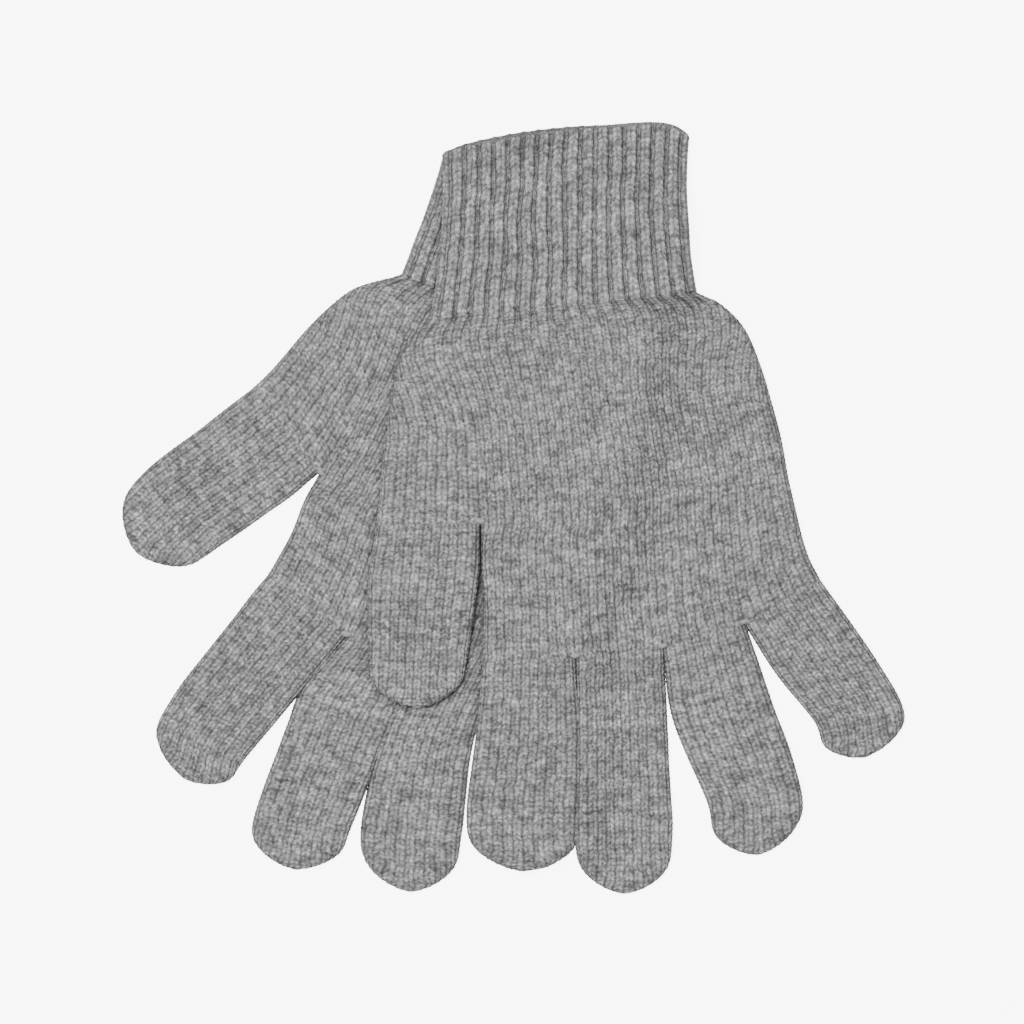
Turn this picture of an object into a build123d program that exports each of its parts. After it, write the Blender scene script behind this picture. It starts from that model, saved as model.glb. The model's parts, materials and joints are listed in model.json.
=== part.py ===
"""A pair of knitted gloves, laid flat one over the other: each is a ribbed cuff, a hand and five closed tubes.

Millimetres, +Z up, both gloves on the plane z = 0. The lower glove lies flat on that plane. The upper glove
lies across it: its thumb side is carried on the lower glove, and its little-finger side comes down to the plane.
Every knitted piece is a hollow tube pressed flat. Angles are in degrees, counter-clockwise from +X.
"""

from build123d import *
from math import asin, degrees
import os

# Fabric, and how thick each flattened tube stands.
PLAIN_WALL = 1.5
RIB_WALL = 2.0
HAND_THICK = 8.0
FINGER_THICK = 6.0
CUFF_THICK = 8.6

# Flat sizes, the same on both gloves.
WRIST_WIDTH = 83.0
MOUTH_WIDTH = 77.0
CUFF_LENGTH = 51.0
FINGERS = ("index", "middle", "ring", "little")
FINGER_WIDTH = {"index": 29.5, "middle": 27.5, "ring": 26.5, "little": 24.5}
FINGER_LENGTH = {"index": 63.0, "middle": 72.0, "ring": 69.0, "little": 54.0}
THUMB_WIDTH = 32.5
THUMB_LENGTH = 56.0

# Shape of a closed finger tube, and the gap left all round it.
TIP_TAPER = 0.86
TIP_ROUND = 0.40
EDGE_ROUND = 0.36
CLOSURE_SHARE = 0.24
CLOSURE_DEPTH = 1.2
PIECE_GAP = 0.3

# Small parts of the cuff and of the finger forks.
RIM_LENGTH = 2.6
ELASTIC_ROUNDS = 7
ELASTIC_SIZE = 0.8
FORK_RADIUS = 1.3
FORK_INSET = 2.2
SETBACK = 6.0

# How the upper glove lies over the lower one.
STACK_GAP = 0.3
DRAPE_MARGIN = 3.0
DRAPE_WIDTH = 15.0
FORK_STEP = Vector(1.6, 2.5)

# How the lower glove lies. Its cuff is drawn up a little under the other cuff, and its middle and ring fingers
# come free of the other glove only some way past their roots.
LOWER_WRIST = Vector(4.6, 58.2)
LOWER_WRIST_ANGLE = -18.4
LOWER_CUFF_DRAWN_UP = 8.0
LOWER_FORK = Vector(-60.1, 12.2)
LOWER_THUMB_ANGLE = -139.5
LOWER_KNUCKLE_START = Vector(-82.2, -19.6)
LOWER_FAN = {"index": -121.1, "middle": -111.7, "ring": -103.1, "little": -91.0}
LOWER_COVERED = {"index": 0.0, "middle": 18.5, "ring": 21.5, "little": 0.0}
LOWER_LEFT_SIDE = ((0.3, 1.5), (0.7, -1.5))
LOWER_RIGHT_SIDE = ((0.5, 0.5),)
LOWER_INNER_SIDE = ((0.5, -2.5),)

# How the upper glove lies.
UPPER_WRIST = Vector(16.3, 64.0)
UPPER_WRIST_ANGLE = 5.3
UPPER_MOUTH_LEAN = 5.5
UPPER_FORK = Vector(-10.2, -6.8)
UPPER_THUMB_ANGLE = -93.5
UPPER_FAN = {"index": -91.7, "middle": -88.5, "ring": -74.4, "little": -60.0}
UPPER_LEFT_SIDE = ((0.35, 4.0), (0.7, 3.5))
UPPER_RIGHT_SIDE = ((0.3, 3.0), (0.7, 2.5))
UPPER_INNER_SIDE = ((0.5, -1.0),)

TALL = 60.0
FAR = 400.0


def heading(angle):
    """The flat unit vector at an angle."""
    return Vector(1, 0).rotate(Axis.Z, angle)


def knuckle_row(start, fan):
    """Each finger's two root corners, walking along the row by finger widths, square to each finger."""
    corners = {}
    at = start
    for finger in FINGERS:
        on = at + heading(fan[finger] + 90) * FINGER_WIDTH[finger]
        corners[finger] = (at, on)
        at = on
    return corners


def side(start, end, stands):
    """A free side of the hand from start to end: each stand is a share of the way and how far out it goes."""
    along = end - start
    out = along.normalized().rotate(Axis.Z, 90)
    return Spline([start, *(start + along * share + out * stand for share, stand in stands), end])


def upright(outline):
    """A tall prism on a flat outline."""
    return extrude(Location((0, 0, -TALL / 2)) * outline, TALL)


# ---------------------------------------------------------------- fingers and thumbs


def tube_block(width, start, length, thick, rise, corner):
    """A finger along +Y from start to length: narrowing a little to a rounded tip, long edges rounded over."""
    root, tip = width / 2, width / 2 * TIP_TAPER
    outline = make_face(Polyline((-root, start), (root, start), (tip, length), (-tip, length), close=True))
    outline = fillet(outline.vertices().group_by(Axis.Y)[-1], corner)
    block = extrude(Location((0, 0, rise)) * outline, thick)
    rounded = [e for e in block.edges() if e.bounding_box().size.Z < 1e-3 and e.center().Y > start + 1e-3]
    return fillet(rounded, thick * EDGE_ROUND)


def finger_tube(width, length, skipped=0.0):
    """A hollow finger, closed at the tip and open at its root. It may start part of the way along."""
    corner = width * TIP_ROUND
    across = width - 2 * PIECE_GAP
    hollow_thick = FINGER_THICK - 2 * PLAIN_WALL
    outer = tube_block(across, -1, length, FINGER_THICK, 0, corner)
    inner = tube_block(
        across - 2 * PLAIN_WALL, -2, length - PLAIN_WALL, hollow_thick, PLAIN_WALL, corner - PLAIN_WALL
    )
    behind = Location((0, skipped + PIECE_GAP, 0)) * Box(
        FAR, FAR, TALL, align=(Align.CENTER, Align.MAX, Align.CENTER)
    )
    return outer - inner - behind


def tip_closure(width, length):
    """The short gathered row of stitches that closes a fingertip, on the flat of the tip."""
    flat = FINGER_THICK * (1 - 2 * EDGE_ROUND)
    bar = Box(width * CLOSURE_SHARE, CLOSURE_DEPTH, flat, align=(Align.CENTER, Align.MIN, Align.CENTER))
    bar = fillet(bar.edges().filter_by(Axis.Z), CLOSURE_DEPTH * 0.4)
    return Location((0, length, FINGER_THICK / 2)) * bar


def laid(corners, angle, level, pitch=0.0):
    """Where a finger made along +Y goes: root between two corners, pointing at angle, nose down by pitch."""
    middle = (corners[0] + corners[1]) / 2
    return Location((middle.X, middle.Y, level), (0, 0, angle - 90)) * Location((0, 0, 0), (-pitch, 0, 0))


# ---------------------------------------------------------------- cuffs


def cuff_band(length, first, last, inset, lean):
    """A solid length of the flattened cuff between two distances from the wrist, inset from its outside."""
    sections = []
    for y in (first, last):
        share = y / length
        width = WRIST_WIDTH + (MOUTH_WIDTH - WRIST_WIDTH) * share
        oval = SlotOverall(width - 2 * inset, CUFF_THICK - 2 * inset)
        sections.append(Location((lean * share, y, CUFF_THICK / 2), (90, 0, 0)) * oval)
    return loft(sections, ruled=True)


def cuff_parts(length, lean):
    """The rib, its overlocked rim, and the elastic rounds laid into the rib's inner face."""
    body_end = length - RIM_LENGTH
    step = body_end / (ELASTIC_ROUNDS + 1)
    hollow = cuff_band(length, -1, length + 1, RIB_WALL, lean)
    rounds = []
    for number in range(1, ELASTIC_ROUNDS + 1):
        y = number * step
        band = cuff_band(length, y, y + ELASTIC_SIZE, RIB_WALL - ELASTIC_SIZE, lean)
        rounds.append((band - hollow).solids()[0])
    rib = cuff_band(length, PIECE_GAP, body_end, 0, lean) - hollow
    for ring in rounds:
        rib = rib - ring
    rim = cuff_band(length, body_end, length, 0, lean) - hollow
    return {"cuff": rib, "cuff_rim": rim, "cuff_elastic": Compound(rounds)}


# ---------------------------------------------------------------- hands


def hand_row(knuckles, fan, covered):
    """The hand's end as a clean chain of points: forks between fingers keep one shared corner."""
    chain = [knuckles["index"][0]]
    for finger in FINGERS:
        left, right = knuckles[finger]
        if covered[finger]:
            reach = heading(fan[finger]) * covered[finger]
            squeeze = (right - left).normalized() * finger_squeeze(finger, covered[finger])
            chain.extend([left + reach + squeeze, right + reach - squeeze])
        chain.append(right)
    return chain


def finger_squeeze(finger, distance):
    """How far each side of a finger has come in at a distance from its root."""
    share = distance / FINGER_LENGTH[finger]
    return FINGER_WIDTH[finger] / 2 * (1 - TIP_TAPER) * share + PIECE_GAP


def hand_outline(left, right, row, thumb_root, stands):
    """The hand from above: wrist, little-finger side, the row of finger ends, fork side, thumb root, thumb side."""
    left_stands, right_stands, inner_stands = stands
    edges = [
        Line(left, right),
        side(right, row[-1], right_stands),
        Polyline(*reversed(row)),
        side(row[0], thumb_root[1], inner_stands),
        Line(thumb_root[1], thumb_root[0]),
        side(thumb_root[0], left, left_stands),
    ]
    return make_face(edges)


def tunnel(corners, outward, reach):
    """A way through between two corners, leaving a post of fabric at each, from well inside to a reach outside."""
    start, end = corners
    post = (end - start).normalized() * (2 * PLAIN_WALL)
    inner, outer = outward * (-2 * SETBACK), outward * (reach + PLAIN_WALL)
    first, last = start + post, end - post
    return make_face(Polyline(first + inner, last + inner, last + outer, first + outer, close=True))


def hand_room(left, right, knuckles, fan, covered, thumb_root, thumb_angle, stands):
    """The room inside the hand from above: a smaller hand, with a way out at the wrist and at every root."""
    ends = [heading(fan["index"]), *(heading(fan[finger]) for finger in FINGERS), heading(fan["little"])]
    points = [knuckles["index"][0], *(knuckles[finger][1] for finger in FINGERS)]
    row = [point - (a + b) * (SETBACK / 2) for point, a, b in zip(points, ends, ends[1:])]
    back = heading(thumb_angle) * SETBACK
    thumb = [corner - back for corner in thumb_root]
    right_in, inner_in, left_in = (
        (end - start).normalized().rotate(Axis.Z, -90) * PLAIN_WALL
        for start, end in ((right, row[-1]), (row[0], thumb[1]), (thumb[0], left))
    )
    row = [row[0] + inner_in, *row[1:-1], row[-1] + right_in]
    room = hand_outline(left + left_in, right + right_in, row, (thumb[0] + left_in, thumb[1] + inner_in), stands)
    room += tunnel((left, right), (right - left).normalized().rotate(Axis.Z, 90), 0)
    room += tunnel(thumb_root, heading(thumb_angle), 0)
    for finger in FINGERS:
        room += tunnel(knuckles[finger], heading(fan[finger]), covered[finger])
    return room


def fork_posts(knuckles, fan, thumb_root, thumb_angle):
    """The wrapped stitches at the forks between fingers, each standing through the hand near its corner."""
    spots = [thumb_root[1] - heading(thumb_angle) * FORK_INSET]
    for finger, following in zip(FINGERS, FINGERS[1:]):
        inward = heading((fan[finger] + fan[following]) / 2) * -FORK_INSET
        spots.append(knuckles[finger][1] + inward)
    return [Location((spot.X, spot.Y, 0)) * Cylinder(FORK_RADIUS, TALL) for spot in spots]


def hand_parts(outline, room, posts, outer, inner):
    """The hand's shell and its fork stitches, shaped by an outer and an inner sheet of space."""
    shell = (upright(outline) & outer) - (upright(room) & inner)
    stitches = []
    for post in posts:
        stitches.append((post & outer).solids()[0])
        shell = shell - post
    return {"hand": shell, "fork_stitches": Compound(stitches)}


def flat_sheet(low, high):
    """All the space between two levels."""
    return Location((0, 0, (low + high) / 2)) * Box(FAR, FAR, high - low)


def draped_sheet(top, bottom, level, low, high):
    """All the space between two heights above the ground, where the ground is at level on the left of the line
    from top to bottom and comes down to zero over the drape width on its right."""
    along = (bottom - top).normalized()
    across = along.rotate(Axis.Z, 90)
    plane = Plane(origin=top - along * FAR / 2, x_dir=across, z_dir=along)
    rise = 1 if plane.y_dir.Z > 0 else -1

    def edge(height):
        high_end = Vector(-FAR / 2, rise * (level + height))
        high_knee = Vector(0, rise * (level + height))
        low_knee = Vector(DRAPE_WIDTH, rise * height)
        low_end = Vector(FAR / 2, rise * height)
        slope = Spline([high_knee, low_knee], tangents=[Vector(1, 0), Vector(1, 0)])
        return high_end, high_knee, slope, low_knee, low_end

    lower, upper = edge(low), edge(high)
    outline = [
        Line(lower[0], lower[1]),
        lower[2],
        Line(lower[3], lower[4]),
        Line(lower[4], upper[4]),
        Line(upper[4], upper[3]),
        upper[2],
        Line(upper[1], upper[0]),
        Line(upper[0], lower[0]),
    ]
    return extrude(plane * make_face(outline), FAR * 1.5)


# ---------------------------------------------------------------- the two gloves

lower_left = LOWER_WRIST - heading(LOWER_WRIST_ANGLE) * (WRIST_WIDTH / 2)
lower_right = LOWER_WRIST + heading(LOWER_WRIST_ANGLE) * (WRIST_WIDTH / 2)
lower_knuckles = knuckle_row(LOWER_KNUCKLE_START, LOWER_FAN)
lower_thumb_root = (LOWER_FORK - heading(LOWER_THUMB_ANGLE + 90) * THUMB_WIDTH, LOWER_FORK)
lower_cuff_length = CUFF_LENGTH - LOWER_CUFF_DRAWN_UP
lower_end = lower_knuckles["little"][1]

upper_left = UPPER_WRIST - heading(UPPER_WRIST_ANGLE) * (WRIST_WIDTH / 2)
upper_right = UPPER_WRIST + heading(UPPER_WRIST_ANGLE) * (WRIST_WIDTH / 2)
upper_fork = lower_end + FORK_STEP
upper_start = upper_fork - heading(UPPER_FAN["index"] + 90) * FINGER_WIDTH["index"]
upper_knuckles = knuckle_row(upper_start, UPPER_FAN)
upper_thumb_root = (UPPER_FORK - heading(UPPER_THUMB_ANGLE + 90) * THUMB_WIDTH, UPPER_FORK)
NOTHING_COVERED = dict.fromkeys(FINGERS, 0.0)

raised = max(HAND_THICK, CUFF_THICK) + STACK_GAP
index_reach = FINGER_LENGTH["index"] + CLOSURE_DEPTH
index_pitch = degrees(asin((raised - FINGER_THICK - STACK_GAP) / index_reach))

# The line where the upper glove starts to come down: just right of the whole lower glove.
to_right = heading(LOWER_WRIST_ANGLE)
cuff_corner = LOWER_WRIST + to_right.rotate(Axis.Z, 90) * lower_cuff_length + to_right * (MOUTH_WIDTH / 2)
drape_top = cuff_corner + to_right * DRAPE_MARGIN
drape_bottom = lower_end + heading(LOWER_FAN["little"] + 90) * DRAPE_MARGIN


def glove(name, knuckles, fan, covered, left, right, thumb_root, thumb_angle, stands, sheets, levels, lean, length):
    """Every piece of one glove, by name, in place."""
    cuff_level, thumb_level, finger_levels, pitches = levels
    row = hand_row(knuckles, fan, covered)
    outline = hand_outline(left, right, row, thumb_root, stands)
    room = hand_room(left, right, knuckles, fan, covered, thumb_root, thumb_angle, stands)
    posts = fork_posts(knuckles, fan, thumb_root, thumb_angle)
    pieces = hand_parts(outline, room, posts, *sheets)

    middle = (left + right) / 2
    turn = Vector(1, 0).get_signed_angle(right - left, Vector(0, 0, 1))
    place = Location((middle.X, middle.Y, cuff_level), (0, 0, turn))
    for key, shape in cuff_parts(length, lean).items():
        pieces[key] = place * shape

    place = laid(thumb_root, thumb_angle, thumb_level)
    pieces["thumb"] = place * finger_tube(THUMB_WIDTH, THUMB_LENGTH)
    pieces["thumb_tip"] = place * tip_closure(THUMB_WIDTH, THUMB_LENGTH)
    for finger in FINGERS:
        width, reach = FINGER_WIDTH[finger], FINGER_LENGTH[finger]
        place = laid(knuckles[finger], fan[finger], finger_levels[finger], pitches[finger])
        pieces[f"{finger}_finger"] = place * finger_tube(width, reach, covered[finger])
        pieces[f"{finger}_tip"] = place * tip_closure(width, reach)
    return {f"{name}_{key}": shape for key, shape in pieces.items()}


LEVEL_GROUND = dict.fromkeys(FINGERS, 0.0)
lower_sheets = (flat_sheet(0, HAND_THICK), flat_sheet(PLAIN_WALL, HAND_THICK - PLAIN_WALL))
upper_sheets = (
    draped_sheet(drape_top, drape_bottom, raised, 0, HAND_THICK),
    draped_sheet(drape_top, drape_bottom, raised, PLAIN_WALL, HAND_THICK - PLAIN_WALL),
)

shapes = glove(
    "lower",
    lower_knuckles,
    LOWER_FAN,
    LOWER_COVERED,
    lower_left,
    lower_right,
    lower_thumb_root,
    LOWER_THUMB_ANGLE,
    (LOWER_LEFT_SIDE, LOWER_RIGHT_SIDE, LOWER_INNER_SIDE),
    lower_sheets,
    (0.0, 0.0, LEVEL_GROUND, LEVEL_GROUND),
    0.0,
    lower_cuff_length,
)
shapes |= glove(
    "upper",
    upper_knuckles,
    UPPER_FAN,
    NOTHING_COVERED,
    upper_left,
    upper_right,
    upper_thumb_root,
    UPPER_THUMB_ANGLE,
    (UPPER_LEFT_SIDE, UPPER_RIGHT_SIDE, UPPER_INNER_SIDE),
    upper_sheets,
    (raised, raised, LEVEL_GROUND | {"index": raised}, LEVEL_GROUND | {"index": index_pitch}),
    UPPER_MOUTH_LEAN,
    CUFF_LENGTH,
)

# The origin goes under the middle of the whole pair, on the plane it lies on.
whole = Compound(list(shapes.values())).bounding_box()
to_origin = Location((-whole.center().X, -whole.center().Y, -whole.min.Z))

os.makedirs("parts", exist_ok=True)
for name, shape in shapes.items():
    piece = to_origin * shape
    piece.label = name
    export_step(piece, f"parts/{name}.step")
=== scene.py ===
# %% [markdown]
# # A pair of knitted gloves, laid flat one across the other
# The CAD frame says where every piece is and how it folds. This script gives each piece its knitted look.
# A glove is a set of flattened tubes, and every tube is a grid: its columns are the knit's wales (the upright
# lines of stitches) and its rows are the courses (the rounds of knitting). Shapes are worked out in
# millimetres and become metres where a mesh is made.

import json
import math

import bpy
import numpy as np
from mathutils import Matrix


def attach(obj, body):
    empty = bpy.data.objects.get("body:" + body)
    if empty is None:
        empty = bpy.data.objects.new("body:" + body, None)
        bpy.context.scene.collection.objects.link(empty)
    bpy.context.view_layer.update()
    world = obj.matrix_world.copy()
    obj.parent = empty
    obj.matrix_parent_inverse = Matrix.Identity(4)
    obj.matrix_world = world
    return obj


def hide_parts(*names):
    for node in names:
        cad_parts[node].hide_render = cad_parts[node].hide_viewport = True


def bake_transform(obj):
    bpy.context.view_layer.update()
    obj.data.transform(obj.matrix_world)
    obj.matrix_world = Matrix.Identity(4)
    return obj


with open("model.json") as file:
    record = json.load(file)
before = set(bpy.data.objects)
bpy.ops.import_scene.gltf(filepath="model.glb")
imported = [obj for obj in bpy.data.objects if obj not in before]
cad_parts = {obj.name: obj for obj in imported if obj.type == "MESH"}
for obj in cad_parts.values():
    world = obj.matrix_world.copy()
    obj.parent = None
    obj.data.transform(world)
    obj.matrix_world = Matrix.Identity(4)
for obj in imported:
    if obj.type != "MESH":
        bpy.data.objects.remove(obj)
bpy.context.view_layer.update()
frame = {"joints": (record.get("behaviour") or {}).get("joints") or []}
joints = {joint["name"]: joint for joint in frame["joints"]}

# %% [markdown]
# ## Sizes
# MM turns millimetres into metres. The plan of each glove is drawn on the floor in millimetres, as a pattern
# cutter would: the corners of its wrist and cuff, the forks between its fingers, a few points down each side
# of every finger, and every fingertip. All other shapes are curves between these.

# %% Sizes
MM = 0.001
WALE = 2.6  # mm from one column of stitches to the next
COURSE = 1.73  # mm from one round to the next
STEPS_WALE = 6  # grid columns to one stitch
STEPS_COURSE = 3  # grid rows to one stitch
LEAN = 0.95  # courses that a leg of a stitch climbs, per column of width
EDGE = 4.0  # mm radius of the fold down each side of the cuff and the hand
FINGER_EDGE = 5.5  # mm over which a finger rounds off at each side
FINGER_HALF = 2.7  # mm, half the thickness of a finger
HAND_HALF = 3.2  # and of the hand
CUFF_HALF = 4.0  # and of the cuff
RELIEF = 0.34  # mm that a stitch stands up
RIB_DEPTH = 0.9  # mm from the top of a rib to its groove
RIBS = 18  # ribs across one face of the cuff
AIR = 0.3  # mm between the two gloves
FADE = 20.0  # mm of the hand over which the ribs die away
HAND_WALES = 48  # columns of stitches across one face of the hand
ROUNDS = (39, 23)  # rounds from the wrist to the thumb, and on to the fingers
THUMB_WALES = 10  # the first columns, which go into the thumb
FINGER_NAMES = ("index", "middle", "ring", "little")
FINGER_SHARE = {"index": 11, "middle": 10, "ring": 9, "little": 8}  # of the hand's columns

LOWER = {
    "wrist": [(-34.8, 73.4), (41.0, 46.4)],
    "mouth": [(-20.9, 112.6), (54.0, 87.4)],
    "bow": (0.5, 1.4),
    "left": [(-50.5, 68.2), (-64.5, 55.8), (-75.1, 43.4), (-81.8, 37.0)],
    "right": [(39.6, 24.0), (34.0, 1.0), (27.5, -24.0)],
    "fork": (-60.8, 10.9),
    "inner": [(-65.2, 1.5), (-69.6, -9.0)],
    "side": (31.0, -12.0),
    "row": [(-76.8, -21.5), (-52.2, -40.5), (-28.1, -46.4), (-1.7, -48.6), (20.6, -47.4)],
    "thumb": ([(-98.0, 24.6), (-115.0, 11.6)], [(-72.0, 2.0), (-91.0, -11.4)], (-118.0, -14.0)),
    "index": ([(-92.4, -41.0), (-109.6, -64.4)], [(-67.0, -58.6), (-83.6, -78.4)], (-102.4, -85.4)),
    "middle": (
        [(-66.0, -57.0), (-71.2, -70.0), (-80.6, -96.0)],
        [(-39.4, -72.6), (-50.2, -99.4)],
        (-68.4, -113.6),
    ),
    "ring": ([(-41.2, -73.6), (-47.4, -100.6)], [(-12.2, -73.0), (-15.8, -102.0)], (-32.0, -120.6)),
    "little": ([(-3.6, -72.0), (-3.0, -99.0)], [(20.2, -72.0), (18.6, -99.5)], (8.4, -113.4)),
}
UPPER = {
    "wrist": [(-25.6, 59.3), (58.2, 67.4)],
    "mouth": [(-21.7, 112.2), (55.8, 118.2)],
    "bow": (1.4, 2.1),
    "left": [(-35.0, 46.0), (-39.4, 20.0), (-42.4, -6.0)],
    "right": [(66.0, 63.7), (73.4, 55.5), (78.5, 43.0), (84.0, 24.2), (87.7, 5.3), (92.4, -13.5)],
    "fork": (-10.0, -5.0),
    "inner": [(-9.4, -16.0), (-8.8, -32.0)],
    "side": (86.6, 10.5),
    "row": [(-8.9, -48.6), (19.9, -47.1), (47.5, -44.2), (73.2, -36.6), (97.0, -23.0)],
    "thumb": ([(-45.0, -25.0), (-44.6, -46.0)], [(-10.6, -22.0), (-14.0, -46.0)], (-30.2, -62.6)),
    "index": ([(-11.2, -72.0), (-14.2, -97.0)], [(21.6, -72.0), (20.8, -98.5)], (3.2, -113.8)),
    "middle": ([(20.2, -75.0), (20.0, -103.5)], [(49.0, -75.0), (50.3, -104.0)], (35.2, -121.2)),
    "ring": ([(50.8, -67.0), (61.2, -92.0)], [(81.2, -59.6), (90.8, -89.0)], (77.2, -109.0)),
    "little": ([(83.2, -52.4), (95.0, -67.0)], [(109.2, -40.2), (122.4, -61.5)], (110.6, -78.4)),
}
CENTRE = np.array([-0.216, -1.491])  # mm: the frame's origin is the middle of the pair
print("stitch", WALE, "by", COURSE, "mm; rounds from the wrist to the knuckles", sum(ROUNDS))

# %% [markdown]
# ## Curves and sections
# A curve goes smoothly through a few points. A flattened tube is flat in the middle and folds over in a
# quarter circle at each side; `across` spreads the columns evenly along the fabric, so they crowd together
# where it turns away from us.


# %% Curves and sections
def curve(points, shares):
    """Points at shares of the length of a smooth curve. Each stretch is a cubic whose ends lean along the
    line joining the neighbours (a Catmull-Rom curve)."""
    p = np.array(points, float)
    p = np.vstack([2 * p[0] - p[1], p, 2 * p[-1] - p[-2]])
    t = np.linspace(0, 1, 40, endpoint=False)[None, :, None]
    a, b, c, d = (p[k : len(p) - 3 + k][:, None] for k in range(4))
    squared, cubed = 2 * a - 5 * b + 4 * c - d, 3 * b - a - 3 * c + d
    dense = 0.5 * (2 * b + (c - a) * t + squared * t**2 + cubed * t**3)
    dense = np.vstack([dense.reshape(-1, p.shape[1]), p[-2]])
    along = np.concatenate([[0], np.cumsum(np.linalg.norm(np.diff(dense, axis=0), axis=1))])
    at = np.asarray(shares) * along[-1]
    return np.stack([np.interp(at, along, dense[:, k]) for k in range(p.shape[1])], axis=-1)


def fold(distance, radius):
    """Height share of a folded edge at a distance from it: a quarter circle, then level."""
    inside = np.clip(distance / radius, 0, 1)
    return np.sqrt(1 - (1 - inside) ** 2)


def across(width, columns, radius, half):
    """Distance from the left edge of each column, evenly spaced along fabric that wraps both edges. Each edge
    is a quarter of an ellipse, as wide as the radius and as high as half the tube's thickness."""
    width = np.asarray(width)[:, None]
    radius = np.minimum(radius, width * 0.49)
    quarter = math.pi / 2 * np.sqrt((radius**2 + np.minimum(half, radius) ** 2) / 2)
    along = np.linspace(0, 1, columns)[None, :] * (width - 2 * radius + 2 * quarter)
    turn = math.pi / 2 / quarter
    left = radius * (1 - np.cos(np.clip(along, 0, quarter) * turn))
    middle = np.clip(along - quarter, 0, width - 2 * radius)
    right = radius * np.sin(np.clip(along - quarter - (width - 2 * radius), 0, quarter) * turn)
    return left + middle + right


def ease(x):
    """0 to 1 and level at both ends."""
    x = np.clip(x, 0, 1)
    return x * x * (3 - 2 * x)


def smooth_noise(x, y, seed, size):
    """Gentle bumps between -1 and 1: a sum of a few sine waves of about one size in seeded directions."""
    rng = np.random.default_rng(seed)
    waves = 7
    angles, phases = rng.uniform(0, math.pi, waves), rng.uniform(0, 6.3, waves)
    stretches = rng.uniform(0.6, 1.7, waves)
    total = np.zeros_like(x)
    for angle, phase, stretch in zip(angles, phases, stretches):
        total += np.sin((x * math.cos(angle) + y * math.sin(angle)) * 6.28 / (size * stretch) + phase)
    return total / waves * 1.6


print("columns across a 20 mm tube", np.round(across([20.0], 7, 4.0, 2.7), 1))


# %% [markdown]
# ## Stitches
# A stitch is a V: two legs that lean towards each other. Down a column the Vs sit one inside the next. The
# height below is high along the middle of each leg and low between columns, between legs and between courses.
# A one by one rib alternates a column that stands up with one that falls back into a groove.


# %% Stitch heights
def stitch_height(wale, course):
    """From 0 in the gaps to 1 on a leg, at a place counted in stitches."""
    side = np.abs(wale - np.floor(wale) - 0.5)
    leg = 0.7 * np.sin(2 * math.pi * np.clip(side, 0, 0.5)) ** 0.8 + 0.35 * np.cos(math.pi * side)
    strand = 0.5 + 0.5 * np.cos(2 * math.pi * (course - LEAN * side))
    return leg * (0.5 + 0.5 * strand)


def rib_height(rib):
    """From 0 in a groove to 1 on a rib, counted in ribs."""
    away = np.abs(rib - np.floor(rib) - 0.5) * 2
    return 1 - np.clip((away - 0.42) / 0.58, 0, 1) ** 1.6


def rib_wale(rib):
    """The wale coordinate across a rib: the raised column takes four fifths, the sunk one the rest."""
    away = rib - np.floor(rib) - 0.5
    sunk = np.clip(np.abs(away) - 0.4, 0, None) / 0.2
    return 2 * np.floor(rib) + 0.5 + np.sign(away) * (np.minimum(np.abs(away), 0.4) / 0.8 + sunk)


def swelling(plan):
    """The slight unevenness of cloth laid by hand, in mm."""
    return smooth_noise(plan[..., 0], plan[..., 1], 5, 26.0) * 0.26


print("heights across a stitch", np.round(stitch_height(np.linspace(0, 1, 7), 0.0), 2))


# %% [markdown]
# ## A tube as a closed ring of columns
# The top face runs left to right and the bottom face comes back, so the rows are closed rings. `knit_mesh`
# turns one or more such grids into a Blender mesh. Its first UV map counts stitches: u in wales, v in
# courses. The second runs on without a break from the cuff to the fingertips, for the streaks in the yarn.


# %% Rings and meshes
def ring_of(plan, rise, middle):
    """Closed rings of points: the top face left to right, then the bottom face right to left."""
    top = np.dstack([plan, middle + rise])
    bottom = np.dstack([plan, middle - rise])
    return np.concatenate([top, bottom[:, -2:0:-1]], axis=1)


def ring_normals(ring):
    """Outward unit normals of a ring grid, from the directions along a row and along a column."""
    along_row = np.roll(ring, -1, axis=1) - np.roll(ring, 1, axis=1)
    along_column = np.gradient(ring, axis=0)
    normal = np.cross(along_column, along_row)
    length = np.linalg.norm(normal, axis=2, keepdims=True)
    return normal / np.maximum(length, 1e-9)


def ring_coordinate(columns, wales):
    """The wale coordinate of each column of a ring with that many stitches across one face."""
    return np.arange(2 * columns - 2) * wales / (columns - 1)


def top_only(values):
    """A closed ring of values that keeps them on the top face and has nothing on the bottom one."""
    return np.concatenate([values, np.zeros_like(values)[:, -2:0:-1]], axis=1)


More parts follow.
